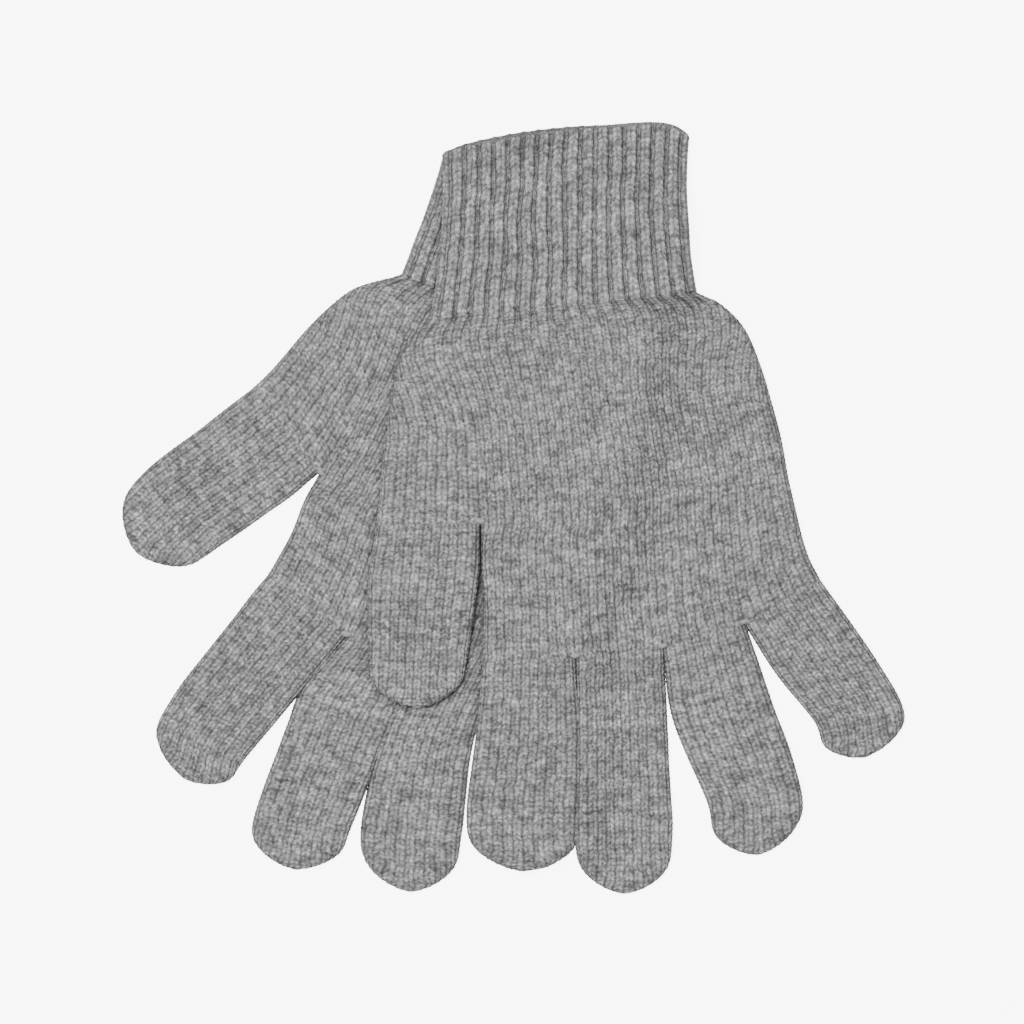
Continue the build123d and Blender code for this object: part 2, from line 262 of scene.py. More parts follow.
def knit_mesh(name, grids, close_tip=False):
    """One mesh object from ring grids. Each grid is a dict: ring (rows, columns, 3) in mm, wale (one for each
    column or point), course (rows), rib (how deep in a groove each point is). `joined` gives the numbers of
    the points that its first row shares with an earlier grid."""
    points, faces, uvs, marls, rib = [], [], [], [], []
    count = 0
    for grid in grids:
        ring, wale, course = grid["ring"], grid["wale"], grid["course"]
        rows, columns = ring.shape[:2]
        if "joined" in grid:
            new = count + np.arange((rows - 1) * columns).reshape(rows - 1, columns)
            index = np.vstack([grid["joined"][None], new])
            fresh = slice(1, None)
        else:
            index = count + np.arange(rows * columns).reshape(rows, columns)
            fresh = slice(0, None)
        grid["index"] = index
        points.append(ring[fresh].reshape(-1, 3))
        rib.append(grid["rib"][fresh].ravel())
        count += points[-1].shape[0]
        following = np.roll(index, -1, axis=1)
        faces.append(np.dstack([index[:-1], index[1:], following[1:], following[:-1]]).reshape(-1, 4))
        for store, across_values, down_values in (
            (uvs, wale, course),
            (marls, grid.get("marl", wale), grid.get("marl_course", course)),
        ):
            u = np.broadcast_to(across_values, (rows, columns))
            v = np.broadcast_to(down_values[:, None], (rows, columns))
            onward = np.hstack([u[:, 1:], 2 * u[:, -1:] - u[:, -2:-1]])
            corner = [u[:-1], v[:-1], u[1:], v[1:], onward[1:], v[1:], onward[:-1], v[:-1]]
            store.append(np.stack(corner, axis=-1).reshape(-1, 8))
    face_list = np.vstack(faces).tolist()
    layers = {"stitch": [np.vstack(uvs).reshape(-1, 2)], "marl": [np.vstack(marls).reshape(-1, 2)]}
    if close_tip:
        last = grids[-1]["index"][-1]
        points.append(grids[-1]["ring"][-1].mean(axis=0)[None])
        rib.append(np.zeros(1))
        face_list += np.column_stack([last, np.full_like(last, count), np.roll(last, -1)]).tolist()
        for key, source in (("stitch", "wale"), ("marl", "marl")):
            values = np.atleast_2d(grids[-1][source])[-1]
            tip_uv = np.stack([values, np.full(len(last), grids[-1]["course"][-1])], axis=-1)
            layers[key].append(np.repeat(tip_uv, 3, axis=0))
    co = np.vstack(points)
    mesh = bpy.data.meshes.new(name)
    mesh.from_pydata((co - np.append(CENTRE, 0)) * MM, [], face_list)
    for key, values in layers.items():
        layer = mesh.uv_layers.new(name=key)
        layer.data.foreach_set("uv", np.vstack(values).astype(np.float32).ravel())
    # The rib attribute also feeds the knit's painted shade in the grooves.
    attribute = mesh.attributes.new("rib", "FLOAT", "POINT")
    attribute.data.foreach_set("value", np.concatenate(rib).astype(np.float32))
    mesh.polygons.foreach_set("use_smooth", np.ones(len(face_list), bool))
    mesh.update()
    obj = bpy.data.objects.new(name, mesh)
    bpy.context.scene.collection.objects.link(obj)
    return obj


# %% [markdown]
# ## What the upper glove lies on
# The lower glove's height is drawn on a grid of one-millimetre squares, spread outwards and blurred. The
# upper glove's tubes rise and fall with it, so the cloth bridges gently down to the floor beside the lower
# glove. A cloth simulation could do it too, but would loosen the stitches from their places.


# %% Ground under a glove
class Ground:
    """A height over the plane, read smoothly between one-millimetre squares."""

    def __init__(self):
        self.low, self.size = -150.0, 301
        self.height = np.zeros((self.size, self.size))

    def add(self, points):
        """Raises the ground to the highest of the points in each square."""
        at = np.clip(np.rint(points[:, :2] - self.low).astype(int), 0, self.size - 1)
        np.maximum.at(self.height, (at[:, 0], at[:, 1]), points[:, 2])

    def spread(self, reach, blur):
        """Widens what stands up by a reach and blurs it, but keeps every high place at least as high."""
        solid, wide = self.height.copy(), self.height.copy()
        for dx in range(-reach, reach + 1):
            for dy in range(-reach, reach + 1):
                if dx * dx + dy * dy <= reach * reach:
                    wide = np.maximum(wide, np.roll(solid, (dx, dy), (0, 1)))
        kernel = np.ones(2 * blur + 1) / (2 * blur + 1)
        wide = self.blurred(wide, kernel, 3)
        self.height = self.blurred(np.maximum(wide, solid), np.ones(3) / 3, 2)

    @staticmethod
    def blurred(heights, kernel, times):
        """Heights averaged with their neighbours, along and across, a number of times."""
        for _ in range(times):
            heights = np.apply_along_axis(np.convolve, 0, heights, kernel, "same")
            heights = np.apply_along_axis(np.convolve, 1, heights, kernel, "same")
        return heights

    def at(self, plan):
        """The height under each plan point, between the four nearest squares."""
        place = np.clip(plan - self.low, 0, self.size - 1.001)
        cell = place.astype(int)
        share = place - cell
        x, y, u, v = cell[..., 0], cell[..., 1], share[..., 0], share[..., 1]
        near = self.height[x, y] * (1 - u) + self.height[x + 1, y] * u
        far = self.height[x, y + 1] * (1 - u) + self.height[x + 1, y + 1] * u
        return near * (1 - v) + far * v


print("ground squares", Ground().size, "by", Ground().size)


# %% [markdown]
# ## The hand
# The hand of a glove is knitted in one piece, and its stitches spread as it widens. A tube cut to an outline
# would cut through stitches, so the grid bends instead: `hand_grids` fills the space between four curves (a
# Coons patch: the two ways of joining opposite sides, added, less what they share). The first patch runs from
# the wrist to the thumb's root and the second on to the knuckles; they share a row of points.


# %% The hand
def patch(top, bottom, left, right, share, down):
    """Points of a Coons patch. Top and bottom hold a point for every share, left and right one for every
    step down."""
    s, d = share[..., None], down[:, None, None]
    upper_corners = (1 - s) * (1 - d) * left[0] + s * (1 - d) * right[0]
    corners = upper_corners + (1 - s) * d * left[-1] + s * d * right[-1]
    return (1 - d) * top + d * bottom + (1 - s) * left[:, None] + s * right[:, None] - corners


def broken_line(points, shares, at):
    """Points along straight stretches that meet at given shares."""
    points = np.array(points, float)
    return np.stack([np.interp(at, shares, points[:, k]) for k in range(2)], axis=-1)


def dip(plan, spots):
    """Height share that falls to nothing at each spot, for forks where the two faces meet."""
    share = np.ones(plan.shape[:2])
    for spot in spots:
        share = np.minimum(share, fold(np.linalg.norm(plan - np.array(spot), axis=-1), EDGE))
    return share


def relief_of(grid, normal, extra):
    """Moves a ring out along its normals by its stitches, and in at the grooves of its ribs."""
    wale, course, rib = np.atleast_2d(grid["wale"]), grid["course"][:, None], grid["rib"]
    plain = stitch_height(wale, course) * RELIEF * grid["depth"]
    grid["ring"] = grid["ring"] + normal * (plain + extra)[..., None]
    grid["rib"] = np.broadcast_to(rib, grid["ring"].shape[:2]).copy()
    return grid


def hand_grids(plan, ground):
    """The two ring grids of a hand: from the wrist to the thumb's root, and on to the knuckles."""
    wrist, side, fork, row = (np.array(plan[k], float) for k in ("wrist", "side", "fork", "row"))
    thumb_corner = np.array(plan["left"][-1])
    right_all = [plan["wrist"][1], *plan["right"], plan["row"][-1]]
    upper_right = [p for p in right_all if p[1] > side[1] + 4] + [tuple(side)]
    lower_right = [tuple(side)] + [p for p in right_all if p[1] < side[1] - 4]

    rows_a, rows_b = ROUNDS[0] * STEPS_COURSE + 1, ROUNDS[1] * STEPS_COURSE + 1
    columns = HAND_WALES * STEPS_WALE + 1
    down = np.linspace(0, 1, rows_a)
    left = curve([plan["wrist"][0], *plan["left"]], down)
    right = curve(upper_right, down)
    width = np.linalg.norm(right - left, axis=1)
    distance = across(width, columns, EDGE, HAND_HALF)
    share = distance / width[:, None]
    division = curve([fork, (fork * 0.66 + side * 0.34) + np.array([0, -1.0]), side], np.linspace(0, 1, 60))
    division = np.vstack([thumb_corner, division])
    division_at = np.concatenate([[0], np.linspace(share[-1, THUMB_WALES * STEPS_WALE], 1, 60)])
    top, bottom = broken_line(wrist, [0, 1], share), broken_line(division, division_at, share)
    plan_a = patch(top, bottom, left, right, share, down)
    edge_a = fold(np.minimum(distance, width[:, None] - distance), EDGE) * dip(plan_a, [fork])

    first = THUMB_WALES * STEPS_WALE
    columns_b = columns - first
    down_b = np.linspace(0, 1, rows_b)
    left_b = curve([plan["fork"], *plan["inner"], plan["row"][0]], down_b)
    right_b = curve(lower_right, down_b)
    width_b = np.linalg.norm(right_b - left_b, axis=1)
    start_share = (share[-1, first:] - share[-1, first]) / (1 - share[-1, first])
    settled = across(width_b, columns_b, EDGE, HAND_HALF) / width_b[:, None]
    blend = ease(down_b / 0.2)[:, None]
    share_b = start_share[None] * (1 - blend) + settled * blend
    wales = np.cumsum([0] + [FINGER_SHARE[f] for f in FINGER_NAMES])
    row_at = share_b[-1, wales * STEPS_WALE]
    top_b = broken_line(division[1:], np.linspace(0, 1, 60), share_b)
    bottom_b = broken_line(row, row_at, share_b)
    plan_b = patch(top_b, bottom_b, left_b, right_b, share_b, down_b)
    distance_b = share_b * width_b[:, None]
    near = np.minimum(distance_b, width_b[:, None] - distance_b)
    edge_b = fold(near, EDGE) * dip(plan_b, [fork, *row[1:4]])

    half_a = CUFF_HALF + (HAND_HALF - CUFF_HALF) * ease(down * 3)
    half_b = HAND_HALF + (FINGER_HALF - HAND_HALF) * ease(down_b * 1.2 - 0.2)
    grids = []
    for points, edge, half, shift in ((plan_a, edge_a, half_a, 0), (plan_b, edge_b, half_b, first)):
        level = ground.at(points) + half[:, None] + RELIEF
        ring = ring_of(points, half[:, None] * edge, level)
        wide = ring_coordinate(points.shape[1], (points.shape[1] - 1) / STEPS_WALE) + shift / STEPS_WALE
        grids.append({"ring": ring, "wale": wide, "marl": wide, "swell": top_only(swelling(points))})
    a, b = grids
    a["course"] = np.linspace(0, ROUNDS[0], rows_a)
    b["course"] = np.linspace(ROUNDS[0], sum(ROUNDS), rows_b)

    # Two columns to a rib leave the cuff, and more join at both sides as the hand widens.
    turns = ring_coordinate(columns, RIBS)[None, :]
    settled = ease(down * ROUNDS[0] * COURSE / FADE)[:, None]
    narrow = rib_wale(turns) * (1 - settled) + (2 * turns - 0.5) * settled
    narrow = narrow + (HAND_WALES - 2 * RIBS) * (np.floor(turns / RIBS) + 0.5)
    grown = ease(down * 1.6)[:, None]
    a["wale"] = narrow * (1 - grown) + a["wale"] * grown
    a["rib"] = (1 - settled) * (1 - rib_height(turns))
    ribs = -a["rib"] * RIB_DEPTH
    a["depth"] = 1.0 - 0.8 * a["rib"]
    b["rib"] = np.zeros(b["ring"].shape[:2])
    b["depth"] = 1.0
    a = relief_of(a, ring_normals(a["ring"]), ribs + a["swell"])
    b = relief_of(b, ring_normals(b["ring"]), b["swell"])

    # The second grid starts on the first one's last row: its top columns, then the same columns underneath.
    last = a["ring"].shape[0] - 1
    over = np.arange(first, columns)
    under = np.sort((2 * columns - 2) - over[1:-1])
    joined_columns = np.concatenate([over, under])
    b["ring"][0] = a["ring"][last, joined_columns]
    b["joined"] = last * a["ring"].shape[1] + joined_columns
    return [a, b]


# %% [markdown]
# ## Fingers and thumbs
# A finger is a narrow tube that ends in a rounded tip, where the last stitches are drawn together. A cone or
# a ball would make the columns of stitches meet in a point. Here one outline goes round the whole finger, and
# the columns run straight down it until the outline cuts them off, as they do on a glove laid flat.


# %% Fingers and thumbs
def finger_grid(root_left, root_right, sides, tip, ground, wales, root_half, hand_wales, first_course):
    """The ring grid of one closed tube, starting a little inside the hand. hand_wales is the first and last
    of the hand's columns that lead into it, which its streaks carry on from; root_half is half the hand's
    thickness there."""
    half = FINGER_HALF
    (left_points, right_points), tip = sides, np.array(tip, float)
    root_left, root_right = np.array(root_left, float), np.array(root_right, float)
    end_left, end_right = np.array(left_points[-1]), np.array(right_points[-1])
    middle, end = (root_left + root_right) / 2, (end_left + end_right) / 2
    # One smooth outline goes round the tip between two shoulders, and is then parted there into two sides.
    cap, reach = tip - end, (end_right - end_left) / 2
    shoulders = [end + cap * 0.66 - reach * 0.79, tip, end + cap * 0.66 + reach * 0.79]
    outline = [root_left, *left_points, *shoulders, *right_points[::-1], root_right]
    outline = curve(outline, np.linspace(0, 1, 801))
    parting = np.argmin(np.linalg.norm(outline - tip, axis=1))
    sides = outline[: parting + 1], outline[parting:][::-1]
    rows = int(round(np.linalg.norm(np.diff(sides[0], axis=0), axis=1).sum() / COURSE)) * STEPS_COURSE
    t = np.linspace(0, 1, rows + 1)[:-1]
    left, right = (curve(side[::8], t) for side in sides)
    tuck = 1.5
    back = (middle - end) / np.linalg.norm(middle - end)
    across_root = (root_right - root_left) / np.linalg.norm(root_right - root_left)
    left = np.vstack([left[0] + back * tuck + across_root * 0.25, left])
    right = np.vstack([right[0] + back * tuck - across_root * 0.25, right])
    width = np.linalg.norm(right - left, axis=1)
    columns = wales * STEPS_WALE + 1
    radius = np.minimum(FINGER_EDGE, width * 0.49)[:, None]
    distance = across(width, columns, FINGER_EDGE, half)
    plan = left[:, None] + (right - left)[:, None] * (distance / width[:, None])[..., None]
    edge = fold(np.minimum(distance, width[:, None] - distance), radius)
    centre_line = (left + right) / 2
    along = np.concatenate([[0], np.cumsum(np.linalg.norm(np.diff(centre_line, axis=0), axis=1))])
    thick = fold(np.linalg.norm(centre_line - tip, axis=1), half * 2.2)
    thick[0] = 0.9  # the first row is tucked inside the hand
    halves = (half + (root_half - half) * (1 - ease(along / 14)))[:, None]
    rise = halves * thick[:, None] * edge
    level = ground.at(plan) + halves + RELIEF
    ring = ring_of(plan, rise, level)
    steps = np.abs(np.diff(thick, prepend=thick[0])) * half * 0.6
    # Past the straight sides the columns of stitches run on and are cut off by the rounded outline.
    past = along > along[-1] - np.linalg.norm(cap)
    narrowing = np.where(past, width / width[~past][-1], 1.0)[:, None]
    turns = ring_coordinate(columns, 1.0)[None, :]
    face = np.floor(turns)
    counted = face + 0.5 + (turns - face - 0.5) * np.minimum(narrowing, 1.0)
    grid = {
        "ring": ring,
        "wale": counted * wales,
        "course": first_course + (along + np.cumsum(steps) - tuck) / COURSE,
        "marl": hand_wales[0] + counted * (hand_wales[1] - hand_wales[0]),
        "rib": np.zeros(ring.shape[:2]),
        "depth": 1.0,
    }
    swell = top_only(swelling(plan) * thick[:, None])
    swell[0] = -0.3
    return relief_of(grid, ring_normals(ring), swell)


# %% [markdown]
# ## The cuff
# A cuff is knitted in rib, which draws in and springs back: tall ribs side by side, with grooves between them
# that hide half the stitches. The grooves are real dents in this mesh, because the light along them is what
# makes a rib read as one. The open edge isn't straight: it bows out where the fabric lies loose.


# %% Cuffs
def cuff_grids(plan, ground):
    """The ribbed tube, the same grid before its ribs are cut, and that grid's normals."""
    wrist, mouth = np.array(plan["wrist"], float), np.array(plan["mouth"], float)
    length = np.linalg.norm(mouth.mean(axis=0) - wrist.mean(axis=0))
    courses = int(round(length / 1.93))
    rows = courses * STEPS_COURSE + 2
    columns = RIBS * 2 * STEPS_WALE + 1
    down = np.append(np.linspace(0, 1, rows - 1), 1 + 2.0 / length)  # the last row is tucked inside the hand
    above = np.clip(1 - down, 0, 1)[:, None]
    sideways = (wrist[1] - wrist[0]) / np.linalg.norm(wrist[1] - wrist[0])
    bow = np.sin(down * math.pi)[:, None] * sideways
    left = mouth[0] + (wrist[0] - mouth[0]) * down[:, None] + bow * plan["bow"][0]
    right = mouth[1] + (wrist[1] - mouth[1]) * down[:, None] - bow * plan["bow"][1]
    width = np.linalg.norm(right - left, axis=1)
    distance = across(width, columns, EDGE, CUFF_HALF)
    share = distance / width[:, None]
    points = left[:, None] + (right - left)[:, None] * share[..., None]
    outward = (mouth.mean(axis=0) - wrist.mean(axis=0)) / length
    wander = smooth_noise(points[..., 0], points[..., 1], 41, 30.0) * np.sin(share * math.pi) * 0.9
    points += sideways * (wander * ease(down * 3)[:, None] * ease(above * 3))[..., None]
    # The mouth bows outwards, fullest towards the little-finger side.
    rising, falling = np.clip(1 - share / 0.675, 0, 1) ** 2.4, np.clip(share - 0.675, 0, 1) / 0.325
    crown = 1 - rising - falling**4.5
    points += outward * (crown * 4.9 * above**0.8 - 1.9 * above)[..., None]
    edge = np.minimum(fold(distance, EDGE), fold(width[:, None] - distance, EDGE * 1.5))
    rise = CUFF_HALF * edge
    rise[-1] *= 0.6
    level = ground.at(points) + CUFF_HALF + RELIEF
    ring = ring_of(points, rise, level)
    turns = ring_coordinate(columns, RIBS)[None, :]
    groove = 1 - rib_height(turns)
    swell = top_only(swelling(points))
    grid = {
        "ring": ring,
        "wale": rib_wale(turns[0]),
        "course": -courses + down * courses,
        "marl": ring_coordinate(columns, HAND_WALES),
        "marl_course": (down - 1) * length / COURSE,
        "rib": np.broadcast_to(groove, ring.shape[:2]).copy(),
        "depth": 1.0 - 0.8 * groove,
    }
    normal = ring_normals(ring)
    outside = relief_of(dict(grid), normal, -groove * RIB_DEPTH + swell)
    return outside, grid, normal


# %% [markdown]
# ## Small pieces
# The cuff's edge is a roll of yarn, the elastic is a thin cord laid round inside the ribs, and each fork and
# fingertip is closed by a little lump of wrapped yarn.


# %% Rolls and lumps
def roll_grid(loop, normal, forward, radius, sides=10):
    """A closed roll that follows a loop of points: a circle in the plane of the normal and forward."""
    turn = np.linspace(0, 2 * math.pi, sides + 1)[:, None, None]
    return loop[None] + radius * (np.cos(turn) * normal[None] + np.sin(turn) * forward[None, None])


def lump_points(centre, along, size, seed, rows=14, columns=22):
    """A closed lump: an ellipsoid with wrapped ridges, turned so its length lies along a direction."""
    upwards, turns = np.linspace(-1, 1, rows) * math.pi / 2, np.arange(columns) / columns * 2 * math.pi
    up, round_it = np.meshgrid(upwards, turns, indexing="ij")
    wrap = 1 + 0.10 * np.sin(round_it * 3 + up * 5 + seed)
    x, y, z = np.sin(up), np.cos(up) * np.cos(round_it) * wrap, np.cos(up) * np.sin(round_it) * wrap
    along = np.array(along, float) / np.linalg.norm(along)
    side = np.array([-along[1], along[0]])
    flat = x[..., None] * along * size[0] + y[..., None] * side * size[1]
    return np.dstack([flat + np.array(centre[:2]), z * size[2] + centre[2]])


def flat_grid(ring, u_step=1.0, v_step=1.0):
    """A grid dict for a plain closed surface with no stitches of its own."""
    rows, columns = ring.shape[:2]
    blank = np.zeros((rows, columns))
    wale, course = np.arange(columns) * u_step, np.arange(rows) * v_step
    return {"ring": ring, "wale": wale, "course": course, "rib": blank}


# %% [markdown]
# ## Making the pieces of a glove
# Each function below makes one family of pieces from the pattern: the cuff, the fingers with their gathered
# tips, and the little bars of yarn that close the forks. The small helpers read the joints of the frame.


# %% Make the pieces
def direction_of(joint):
    """The flat direction a folding piece points in, from its hinge's axis."""
    axis = joint["axis"]
    return np.array([-axis[1], axis[0], 0.0])


def bend_at_hinge(obj, name, part, reach):
    """Reads the tube's fold joint and bakes the tube's transform into its mesh; nothing bends here."""
    joint = joints[f"{name}_{part}_fold"]
    start = np.array(joint["pos_m"])
    list(start + direction_of(joint) * reach * MM)
    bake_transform(obj)


def points_of(obj):
    """A piece's points in mm on the plan."""
    co = np.zeros(len(obj.data.vertices) * 3)
    obj.data.vertices.foreach_get("co", co)
    return co.reshape(-1, 3) / MM + np.append(CENTRE, 0)


def swung(obj, joint):
    """The points of a piece at ten steps of a joint that swings it flat on the floor, a hair raised."""
    points, turn = points_of(obj), math.copysign(1, joint["axis"][2])
    pivot = np.array(joint["pos_m"][:2]) / MM + CENTRE
    for angle in np.linspace(*np.radians(joint["range_deg"]), 11)[1:] * turn:
        c, s = math.cos(angle), math.sin(angle)
        flat = (points[:, :2] - pivot) @ np.array([[c, s], [-s, c]]) + pivot
        yield np.column_stack([flat, points[:, 2] + 0.25])


def cuff_direction(plan):
    """The flat direction from the wrist to the mouth of the cuff."""
    forward = np.append(np.mean(plan["mouth"], axis=0) - np.mean(plan["wrist"], axis=0), 0)
    return forward / np.linalg.norm(forward)


def cuff_pieces(name, plan, ground):
    """The ribbed tube with its inside face, the roll along its edge and the seven rounds of elastic."""
    outside, core, normal = cuff_grids(plan, ground)
    inner_ring = (core["ring"] - normal * 2.1)[::STEPS_COURSE, ::-2]
    inner = flat_grid(inner_ring, -2 / STEPS_WALE, 1.0)
    # Painted shade: the inside face counts as half way into a groove, so its colour is a little darker.
    inner["rib"] = inner["rib"] + 0.5
    made = {"cuff": knit_mesh(f"{name}_cuff_knit", [outside, inner])}

    forward = cuff_direction(plan)
    groove = core["rib"][0][:, None]
    loop = core["ring"][0] - normal[0] * (1.05 + groove * RIB_DEPTH * 0.55)
    roll = roll_grid(loop, normal[0], forward, 1.1)
    made["cuff_rim"] = knit_mesh(f"{name}_cuff_edge", [flat_grid(roll, 0.5, 0.35)])
    rounds = []
    for count in range(1, 8):
        row = int(len(core["ring"]) * count / 8)
        loop = core["ring"][row] - normal[row] * 1.9
        rounds.append(flat_grid(roll_grid(loop, normal[row], forward, 0.3, 6)))
    made["cuff_elastic"] = knit_mesh(f"{name}_cuff_threads", rounds)
    return made


def finger_roots(plan):
    """For the thumb and each finger: its two root corners, the hand's columns that lead in, and the round."""
    roots = {"thumb": ((plan["left"][-1], plan["fork"]), (0, THUMB_WALES), ROUNDS[0])}
    first_wale = THUMB_WALES
    for k, finger in enumerate(FINGER_NAMES):
        next_wale = first_wale + FINGER_SHARE[finger]
        roots[finger] = ((plan["row"][k], plan["row"][k + 1]), (first_wale, next_wale), sum(ROUNDS))
        first_wale = next_wale
    return roots


def heading_of(points, tip):
    """The direction from the middle of two points to a tip."""
    middle = (np.array(points[0]) + np.array(points[1])) / 2
    return (np.array(tip) - middle) / np.linalg.norm(np.array(tip) - middle)


def finger_pieces(name, plan, ground):
    """The thumb and the fingers, and the gathered yarn at each tip."""
    made, tips = {}, {}
    for part, ((root_left, root_right), start, first_course) in finger_roots(plan).items():
        left_points, right_points, tip = plan[part]
        wales = int(round((np.linalg.norm(np.subtract(root_right, root_left)) + 2.6) / WALE))
        sides = (left_points, right_points)
        root_half = HAND_HALF if part == "thumb" else FINGER_HALF
        grid = finger_grid(root_left, root_right, sides, tip, ground, wales, root_half, start, first_course)
        made[part] = knit_mesh(f"{name}_{part}_knit", [grid], close_tip=True)
        heading = heading_of((left_points[-1], right_points[-1]), tip)
        place = np.append(np.array(tip) - heading * 0.6, ground.at(np.array(tip)) + FINGER_HALF + RELIEF)
        lump = lump_points(place, heading, (0.9, 2.2, 0.8), len(tips))
        tips[part] = knit_mesh(f"{name}_{part}_tip_yarn", [flat_grid(lump)])
    return made, tips


def fork_piece(name, plan, ground):
    """The wrapped yarn at the thumb's fork and at the three forks between the fingers."""
    forks = []
    for k, fork in enumerate([plan["fork"], *plan["row"][1:4]]):
        half = FINGER_HALF if k else HAND_HALF
        across_fork = (plan["row"][1], plan["row"][2]) if k else (plan["left"][-1], plan["fork"])
        lean = np.subtract(across_fork[1], across_fork[0])
        inward = np.array([-lean[1], lean[0]]) / np.linalg.norm(lean)
        at = np.array(fork) + inward * 0.9
        place = np.append(at, ground.at(at) + half + RELIEF + 0.5)
        forks.append(flat_grid(lump_points(place, lean, (2.3, 1.2, half), k)))
    return knit_mesh(f"{name}_fork_yarn", forks)


# %% [markdown]
# ## Riding on the bodies
# Cloth has no hinge pins. The hand, its fork stitches and the tips ride on their bodies; the finger and cuff
# tubes only have their transforms baked, and are not blended or folded here. In the frame the lower cuff and
# little finger swing sideways on the floor instead of folding.


# %% Put the hand, forks and tips on their bodies
def blend_sideways(obj, part, direction):
    """Bakes the transform of a piece that swings on the floor into its mesh; it is not blended here."""
    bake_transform(obj)


def ride_hand(name, made):
    """The hand and its fork stitches ride on the hand's body."""
    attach(made["hand"], f"{name}_hand")
    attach(made["fork_stitches"], f"{name}_hand")
    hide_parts(f"{name}_hand")
    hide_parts(f"{name}_fork_stitches")


def ride_cuff(name, plan, made):
    """Hides the CAD cuff parts and bakes each cuff piece's transform; the cuffs are not attached or folded
    here.
    """
    for part in ("cuff", "cuff_rim", "cuff_elastic"):
        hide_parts(f"{name}_{part}")
        if name == "upper":
            bend_at_hinge(made[part], name, "cuff", 10)
        else:
            place = np.append(np.mean(plan["wrist"], axis=0) - CENTRE, CUFF_HALF)
            blend_sideways(made[part], "cuff", cuff_direction(plan))


def ride_fingers(name, plan, made, tips):
    """Hides the CAD finger and tip parts, puts each tip on its finger's body and bakes each finger tube's
    transform.
    """
    for part, (corners, _, _) in finger_roots(plan).items():
        node = part if part == "thumb" else f"{part}_finger"
        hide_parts(f"{name}_{node}")
        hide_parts(f"{name}_{part}_tip")
        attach(tips[part], f"{name}_{part}")
        if f"{name}_{part}_fold" in joints:
            bend_at_hinge(made[part], name, part, 9)
        else:
            middle = (np.array(corners[0]) + np.array(corners[1])) / 2
            blend_sideways(made[part], part, np.append(heading_of(corners, plan[part][2]), 0))


def build_glove(name, plan, ground):
    """All the pieces of one glove; the hand, its fork stitches and the tips ride on their bodies. Returns
    them with their points on the plan.
    """
    made = {"hand": knit_mesh(f"{name}_hand_knit", hand_grids(plan, ground))}
    made.update(cuff_pieces(name, plan, ground))
    fingers, tips = finger_pieces(name, plan, ground)
    made.update(fingers)
    made["fork_stitches"] = fork_piece(name, plan, ground)
    ride_hand(name, made)
    ride_cuff(name, plan, made)
    ride_fingers(name, plan, made, tips)
    pieces = {**made, **{f"{part}_tip": obj for part, obj in tips.items()}}
    sizes = {part: sum(len(face.vertices) - 2 for face in obj.data.polygons) for part, obj in pieces.items()}
    print(name, len(pieces), "pieces,", sum(sizes.values()), "triangles, at most", max(sizes.values()))
    return pieces, np.vstack([points_of(obj) for obj in pieces.values()])


# %% [markdown]
# ## Laying one glove on the other
# The lower glove lies on the floor. Its points, and those its cuff and little finger sweep through, then
# raise the ground under the upper glove, with a hair of air between them.

# %% Lay the two gloves
floor_ground = Ground()
lower, lower_points = build_glove("lower", LOWER, floor_ground)
draped_ground = Ground()
draped_ground.add(lower_points)
for part, joint in (("cuff", "lower_cuff_swing"), ("little", "lower_little_swing")):
    for points in swung(lower[part], joints[joint]):
        draped_ground.add(points)
draped_ground.spread(6, 4)  # six squares outwards, each then averaged over nine
draped_ground.height += AIR * ease(draped_ground.height / 2)
upper, upper_points = build_glove("upper", UPPER, draped_ground)
for name, points in (("lower", lower_points), ("upper", upper_points)):
    print(name, "glove stands from", points[:, 2].min().round(2), "to", points[:, 2].max().round(2), "mm")

# %% [markdown]
# ## Materials
# Marl yarn is spun from light and dark fibres, so no two stitches have the same grey. A picture could show
# that, but nodes stay sharp at any distance. Two node groups carry the knit. The first draws the stitches as
# a height, from the UV map that counts stitches; it fits the stitches that the mesh already has.


# %% Node helpers
class Nodes:
    """Adds nodes to a tree and links them with short calls."""

    def __init__(self, tree):
        self.tree = tree

    def add(self, kind, **settings):
        node = self.tree.nodes.new(kind)
        for key, value in settings.items():
            setattr(node, key, value)
        return node

    def put(self, socket, value):
        if isinstance(value, bpy.types.NodeSocket):
            self.tree.links.new(value, socket)
        else:
            socket.default_value = value

    def math(self, operation, *values):
        node = self.add("ShaderNodeMath", operation=operation)
        for socket, value in zip(node.inputs, values):
            self.put(socket, value)
        return node.outputs[0]

    def vector(self, x, y, z=0.0):
        node = self.add("ShaderNodeCombineXYZ")
        for socket, value in zip(node.inputs, (x, y, z)):
            self.put(socket, value)
        return node.outputs[0]

    def noise(self, vector, scale, detail=2.0):
        node = self.add("ShaderNodeTexNoise")
        self.put(node.inputs["Vector"], vector)
        self.put(node.inputs["Scale"], scale)
        self.put(node.inputs["Detail"], detail)
        return node.outputs["Fac"]


def new_group(name, inputs, outputs):
    """An empty node group with float sockets: its Nodes, its inputs and its output node."""
    tree = bpy.data.node_groups.new(name, "ShaderNodeTree")
    for label in inputs:
        tree.interface.new_socket(label, in_out="INPUT", socket_type="NodeSocketFloat")
    for label in outputs:
        tree.interface.new_socket(label, in_out="OUTPUT", socket_type="NodeSocketFloat")
    nodes = Nodes(tree)
    return tree, nodes, nodes.add("NodeGroupInput").outputs, nodes.add("NodeGroupOutput").inputs


